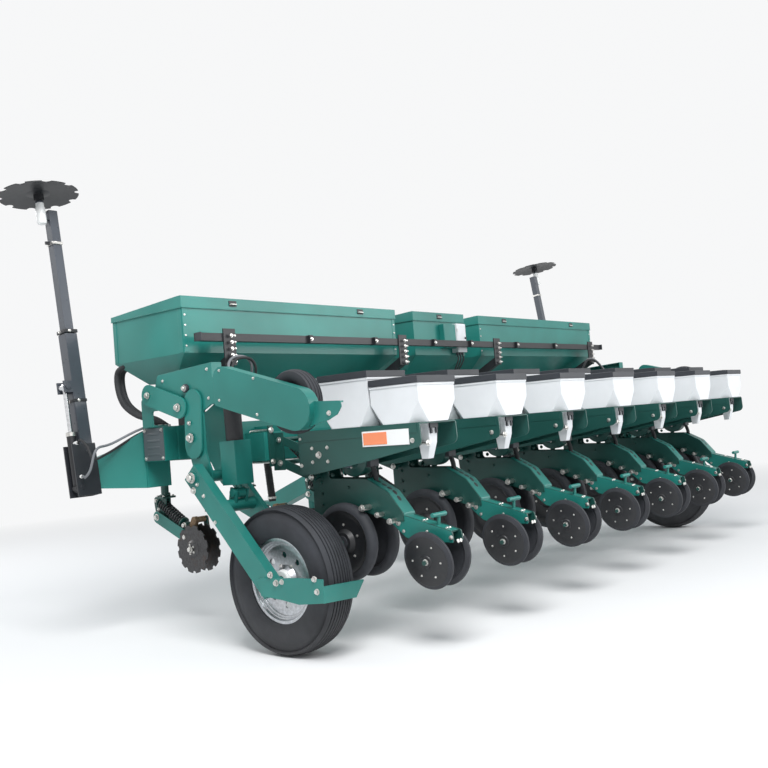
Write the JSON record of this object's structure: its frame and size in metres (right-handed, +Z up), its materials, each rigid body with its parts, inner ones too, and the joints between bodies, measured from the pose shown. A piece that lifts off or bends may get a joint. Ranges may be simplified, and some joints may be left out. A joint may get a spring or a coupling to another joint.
{
  "type": "trailed precision planter",
  "caption": "Trailed row-crop precision planter: twin toolbar, fertiliser boxes, tandem seed hoppers, gauge and angled press wheels, fork-arm transport wheels and folding row markers.",
  "frame": {"origin": "on the ground, below the middle of the front toolbar", "axes": "+X across the machine to its right, +Y the way it travels, +Z up"},
  "size_m": [6.189, 3.734, 2.7131],
  "materials": {
    "green_paint": "semi-gloss enamel",
    "dark_green_paint": "semi-gloss enamel",
    "black_paint": "satin enamel",
    "tyre_rubber": "matt rubber",
    "rim_paint": "silver enamel",
    "bright_steel": "plated rod",
    "white_plastic": "moulded, slightly grained",
    "dark_plastic": "moulded, matt",
    "disc_steel": "worn steel",
    "black_hose": "ribbed hose"
  },
  "bodies": {
    "frame": {"main_frame": "green_paint", "drawbar": "green_paint", "box_frame": "black_paint", "fertiliser_boxes": "green_paint", "end_frames": "green_paint", "chain_cases": "green_paint", "row_frames": "dark_green_paint", "seed_hoppers": "white_plastic", "fertiliser_openers": "dark_green_paint", "fertiliser_hoses": "black_hose", "control_box": "white_plastic"},
    "jack_leg": {"jack_leg": "green_paint"},
    "box_lid_left": {"box_lid_left": "green_paint"},
    "box_lid_centre": {"box_lid_centre": "green_paint"},
    "box_lid_right": {"box_lid_right": "green_paint"},
    "wheel_arm_left": {"wheel_arm_left": "green_paint"},
    "wheel_left": {"tyre_left": "tyre_rubber", "rim_left": "rim_paint"},
    "lift_cylinder_left": {"lift_cylinder_left": "black_paint"},
    "lift_rod_left": {"lift_rod_left": "dark_green_paint"},
    "contact_wheel_left": {"contact_wheel_left": "tyre_rubber"},
    "marker_mast_left": {"marker_mast_left": "black_paint"},
    "marker_disc_left": {"marker_disc_left": "black_paint"},
    "marker_cylinder_left": {"marker_cylinder_left": "black_paint"},
    "marker_rod_left": {"marker_rod_left": "bright_steel"},
    "wheel_arm_right": {"wheel_arm_right": "green_paint"},
    "wheel_right": {"tyre_right": "tyre_rubber", "rim_right": "rim_paint"},
    "lift_cylinder_right": {"lift_cylinder_right": "black_paint"},
    "lift_rod_right": {"lift_rod_right": "dark_green_paint"},
    "contact_wheel_right": {"contact_wheel_right": "tyre_rubber"},
    "marker_mast_right": {"marker_mast_right": "black_paint"},
    "marker_disc_right": {"marker_disc_right": "black_paint"},
    "marker_cylinder_right": {"marker_cylinder_right": "black_paint"},
    "marker_rod_right": {"marker_rod_right": "bright_steel"},
    "rear_hopper_lids": {"rear_hopper_lids": "dark_plastic"},
    "front_hopper_lids": {"front_hopper_lids": "dark_plastic"},
    "seed_discs": {"seed_discs": "disc_steel"},
    "fertiliser_discs": {"fertiliser_discs": "disc_steel"},
    "gauge_wheels_1": {"gauge_wheels_1": "tyre_rubber"},
    "press_wheel_left_1": {"press_wheel_left_1": "tyre_rubber"},
    "press_wheel_right_1": {"press_wheel_right_1": "tyre_rubber"},
    "gauge_wheels_2": {"gauge_wheels_2": "tyre_rubber"},
    "press_wheel_left_2": {"press_wheel_left_2": "tyre_rubber"},
    "press_wheel_right_2": {"press_wheel_right_2": "tyre_rubber"},
    "gauge_wheels_3": {"gauge_wheels_3": "tyre_rubber"},
    "press_wheel_left_3": {"press_wheel_left_3": "tyre_rubber"},
    "press_wheel_right_3": {"press_wheel_right_3": "tyre_rubber"},
    "gauge_wheels_4": {"gauge_wheels_4": "tyre_rubber"},
    "press_wheel_left_4": {"press_wheel_left_4": "tyre_rubber"},
    "press_wheel_right_4": {"press_wheel_right_4": "tyre_rubber"},
    "gauge_wheels_5": {"gauge_wheels_5": "tyre_rubber"},
    "press_wheel_left_5": {"press_wheel_left_5": "tyre_rubber"},
    "press_wheel_right_5": {"press_wheel_right_5": "tyre_rubber"},
    "gauge_wheels_6": {"gauge_wheels_6": "tyre_rubber"},
    "press_wheel_left_6": {"press_wheel_left_6": "tyre_rubber"},
    "press_wheel_right_6": {"press_wheel_right_6": "tyre_rubber"},
    "gauge_wheels_7": {"gauge_wheels_7": "tyre_rubber"},
    "press_wheel_left_7": {"press_wheel_left_7": "tyre_rubber"},
    "press_wheel_right_7": {"press_wheel_right_7": "tyre_rubber"}
  },
  "joints": [
    {"name": "jack_leg_slide", "type": "slide", "parent": "frame", "child": "jack_leg", "axis": [0, 0, 1], "range_m": [0, 0.35]},
    {"name": "box_lid_left_hinge", "type": "hinge", "parent": "frame", "child": "box_lid_left", "pos_m": [-1.5095, 0.392, 1.928], "axis": [-1, 0, 0], "range_deg": [0, 100]},
    {"name": "box_lid_centre_hinge", "type": "hinge", "parent": "frame", "child": "box_lid_centre", "pos_m": [0, 0.392, 1.928], "axis": [-1, 0, 0], "range_deg": [0, 100]},
    {"name": "box_lid_right_hinge", "type": "hinge", "parent": "frame", "child": "box_lid_right", "pos_m": [1.5095, 0.392, 1.928], "axis": [-1, 0, 0], "range_deg": [0, 100]},
    {"name": "wheel_arm_left_hinge", "type": "hinge", "parent": "frame", "child": "wheel_arm_left", "pos_m": [-2.438, -0.48, 0.94], "axis": [-1, 0, 0], "range_deg": [0, 27.5]},
    {"name": "wheel_left_spin", "type": "hinge", "parent": "wheel_arm_left", "child": "wheel_left", "pos_m": [-2.438, -0.995, 0.386], "axis": [1, 0, 0], "continuous": true},
    {"name": "lift_cylinder_left_swing", "type": "hinge", "parent": "frame", "child": "lift_cylinder_left", "pos_m": [-2.438, -0.64, 1.43], "axis": [-1, 0, 0], "range_deg": [0, 3.12]},
    {"name": "lift_rod_left_slide", "type": "slide", "parent": "lift_cylinder_left", "child": "lift_rod_left", "axis": [0, 0.0191, 0.9998], "range_m": [0, 0.08885]},
    {"name": "contact_wheel_left_spin", "type": "hinge", "parent": "frame", "child": "contact_wheel_left", "pos_m": [-2.5, -1.2, 1.3], "axis": [1, 0, 0], "continuous": true},
    {"name": "marker_mast_left_fold", "type": "hinge", "parent": "frame", "child": "marker_mast_left", "pos_m": [-2.8, 0.266, 1.123], "axis": [0, -0.9914, 0.1305], "range_deg": [0, 90]},
    {"name": "marker_disc_left_spin", "type": "hinge", "parent": "marker_mast_left", "child": "marker_disc_left", "pos_m": [-2.864, 0.47053, 2.67659], "axis": [0, 0.1305, 0.9914], "continuous": true},
    {"name": "marker_cylinder_left_swing", "type": "hinge", "parent": "frame", "child": "marker_cylinder_left", "pos_m": [-2.868, 0.23989, 0.92471], "axis": [0, -0.9914, 0.1305], "range_deg": [0, 67.84]},
    {"name": "marker_rod_left_slide", "type": "slide", "parent": "marker_cylinder_left", "child": "marker_rod_left", "axis": [0, -0.1305, -0.9914], "range_m": [0, 0.24224]},
    {"name": "wheel_arm_right_hinge", "type": "hinge", "parent": "frame", "child": "wheel_arm_right", "pos_m": [2.438, -0.48, 0.94], "axis": [-1, 0, 0], "range_deg": [0, 27.5]},
    {"name": "wheel_right_spin", "type": "hinge", "parent": "wheel_arm_right", "child": "wheel_right", "pos_m": [2.438, -0.995, 0.386], "axis": [1, 0, 0], "continuous": true},
    {"name": "lift_cylinder_right_swing", "type": "hinge", "parent": "frame", "child": "lift_cylinder_right", "pos_m": [2.438, -0.64, 1.43], "axis": [-1, 0, 0], "range_deg": [0, 3.12]},
    {"name": "lift_rod_right_slide", "type": "slide", "parent": "lift_cylinder_right", "child": "lift_rod_right", "axis": [0, 0.0191, 0.9998], "range_m": [0, 0.08885]},
    {"name": "contact_wheel_right_spin", "type": "hinge", "parent": "frame", "child": "contact_wheel_right", "pos_m": [2.5, -1.2, 1.3], "axis": [1, 0, 0], "continuous": true},
    {"name": "marker_mast_right_fold", "type": "hinge", "parent": "frame", "child": "marker_mast_right", "pos_m": [2.8, 0.266, 1.123], "axis": [0, 0.9914, -0.1305], "range_deg": [0, 90]},
    {"name": "marker_disc_right_spin", "type": "hinge", "parent": "marker_mast_right", "child": "marker_disc_right", "pos_m": [2.864, 0.47053, 2.67659], "axis": [0, 0.1305, 0.9914], "continuous": true},
    {"name": "marker_cylinder_right_swing", "type": "hinge", "parent": "frame", "child": "marker_cylinder_right", "pos_m": [2.868, 0.23989, 0.92471], "axis": [0, 0.9914, -0.1305], "range_deg": [0, 67.84]},
    {"name": "marker_rod_right_slide", "type": "slide", "parent": "marker_cylinder_right", "child": "marker_rod_right", "axis": [0, -0.1305, -0.9914], "range_m": [0, 0.24224]},
    {"name": "rear_hopper_lids_hinge", "type": "hinge", "parent": "frame", "child": "rear_hopper_lids", "pos_m": [0, -1.49, 1.371], "axis": [-1, 0, 0], "range_deg": [0, 80]},
    {"name": "front_hopper_lids_hinge", "type": "hinge", "parent": "frame", "child": "front_hopper_lids", "pos_m": [0, -1.132, 1.422], "axis": [-1, 0, 0], "range_deg": [0, 100]},
    {"name": "seed_discs_spin", "type": "hinge", "parent": "frame", "child": "seed_discs", "pos_m": [0, -1.12, 0.56], "axis": [1, 0, 0], "continuous": true},
    {"name": "fertiliser_discs_spin", "type": "hinge", "parent": "frame", "child": "fertiliser_discs", "pos_m": [0, 0.16, 0.468], "axis": [1, 0, 0], "continuous": true},
    {"name": "gauge_wheels_1_spin", "type": "hinge", "parent": "frame", "child": "gauge_wheels_1", "pos_m": [-2.1, -1.19, 0.545], "axis": [1, 0, 0], "continuous": true},
    {"name": "press_wheel_left_1_spin", "type": "hinge", "parent": "frame", "child": "press_wheel_left_1", "pos_m": [-2.176, -1.72, 0.461], "axis": [0.9848, 0, 0.1736], "continuous": true},
    {"name": "press_wheel_right_1_spin", "type": "hinge", "parent": "frame", "child": "press_wheel_right_1", "pos_m": [-2.024, -1.72, 0.461], "axis": [0.9848, 0, -0.1736], "continuous": true},
    {"name": "gauge_wheels_2_spin", "type": "hinge", "parent": "frame", "child": "gauge_wheels_2", "pos_m": [-1.4, -1.19, 0.545], "axis": [1, 0, 0], "continuous": true},
    {"name": "press_wheel_left_2_spin", "type": "hinge", "parent": "frame", "child": "press_wheel_left_2", "pos_m": [-1.476, -1.72, 0.461], "axis": [0.9848, 0, 0.1736], "continuous": true},
    {"name": "press_wheel_right_2_spin", "type": "hinge", "parent": "frame", "child": "press_wheel_right_2", "pos_m": [-1.324, -1.72, 0.461], "axis": [0.9848, 0, -0.1736], "continuous": true},
    {"name": "gauge_wheels_3_spin", "type": "hinge", "parent": "frame", "child": "gauge_wheels_3", "pos_m": [-0.7, -1.19, 0.545], "axis": [1, 0, 0], "continuous": true},
    {"name": "press_wheel_left_3_spin", "type": "hinge", "parent": "frame", "child": "press_wheel_left_3", "pos_m": [-0.776, -1.72, 0.461], "axis": [0.9848, 0, 0.1736], "continuous": true},
    {"name": "press_wheel_right_3_spin", "type": "hinge", "parent": "frame", "child": "press_wheel_right_3", "pos_m": [-0.624, -1.72, 0.461], "axis": [0.9848, 0, -0.1736], "continuous": true},
    {"name": "gauge_wheels_4_spin", "type": "hinge", "parent": "frame", "child": "gauge_wheels_4", "pos_m": [0, -1.19, 0.545], "axis": [1, 0, 0], "continuous": true},
    {"name": "press_wheel_left_4_spin", "type": "hinge", "parent": "frame", "child": "press_wheel_left_4", "pos_m": [-0.076, -1.72, 0.461], "axis": [0.9848, 0, 0.1736], "continuous": true},
    {"name": "press_wheel_right_4_spin", "type": "hinge", "parent": "frame", "child": "press_wheel_right_4", "pos_m": [0.076, -1.72, 0.461], "axis": [0.9848, 0, -0.1736], "continuous": true},
    {"name": "gauge_wheels_5_spin", "type": "hinge", "parent": "frame", "child": "gauge_wheels_5", "pos_m": [0.7, -1.19, 0.545], "axis": [1, 0, 0], "continuous": true},
    {"name": "press_wheel_left_5_spin", "type": "hinge", "parent": "frame", "child": "press_wheel_left_5", "pos_m": [0.624, -1.72, 0.461], "axis": [0.9848, 0, 0.1736], "continuous": true},
    {"name": "press_wheel_right_5_spin", "type": "hinge", "parent": "frame", "child": "press_wheel_right_5", "pos_m": [0.776, -1.72, 0.461], "axis": [0.9848, 0, -0.1736], "continuous": true},
    {"name": "gauge_wheels_6_spin", "type": "hinge", "parent": "frame", "child": "gauge_wheels_6", "pos_m": [1.4, -1.19, 0.545], "axis": [1, 0, 0], "continuous": true},
    {"name": "press_wheel_left_6_spin", "type": "hinge", "parent": "frame", "child": "press_wheel_left_6", "pos_m": [1.324, -1.72, 0.461], "axis": [0.9848, 0, 0.1736], "continuous": true},
    {"name": "press_wheel_right_6_spin", "type": "hinge", "parent": "frame", "child": "press_wheel_right_6", "pos_m": [1.476, -1.72, 0.461], "axis": [0.9848, 0, -0.1736], "continuous": true},
    {"name": "gauge_wheels_7_spin", "type": "hinge", "parent": "frame", "child": "gauge_wheels_7", "pos_m": [2.1, -1.19, 0.545], "axis": [1, 0, 0], "continuous": true},
    {"name": "press_wheel_left_7_spin", "type": "hinge", "parent": "frame", "child": "press_wheel_left_7", "pos_m": [2.024, -1.72, 0.461], "axis": [0.9848, 0, 0.1736], "continuous": true},
    {"name": "press_wheel_right_7_spin", "type": "hinge", "parent": "frame", "child": "press_wheel_right_7", "pos_m": [2.176, -1.72, 0.461], "axis": [0.9848, 0, -0.1736], "continuous": true}
  ],
  "couplings": [
    {"joint": "lift_cylinder_left_swing", "follows": "wheel_arm_left_hinge", "ratio": 0.11324},
    {"joint": "lift_rod_left_slide", "follows": "wheel_arm_left_hinge", "m_per_rad": 0.18491},
    {"joint": "marker_cylinder_left_swing", "follows": "marker_mast_left_fold", "ratio": 0.75371},
    {"joint": "marker_rod_left_slide", "follows": "marker_mast_left_fold", "m_per_rad": 0.15415},
    {"joint": "lift_cylinder_right_swing", "follows": "wheel_arm_right_hinge", "ratio": 0.11324},
    {"joint": "lift_rod_right_slide", "follows": "wheel_arm_right_hinge", "m_per_rad": 0.18491},
    {"joint": "marker_cylinder_right_swing", "follows": "marker_mast_right_fold", "ratio": 0.75371},
    {"joint": "marker_rod_right_slide", "follows": "marker_mast_right_fold", "m_per_rad": 0.15415}
  ]
}
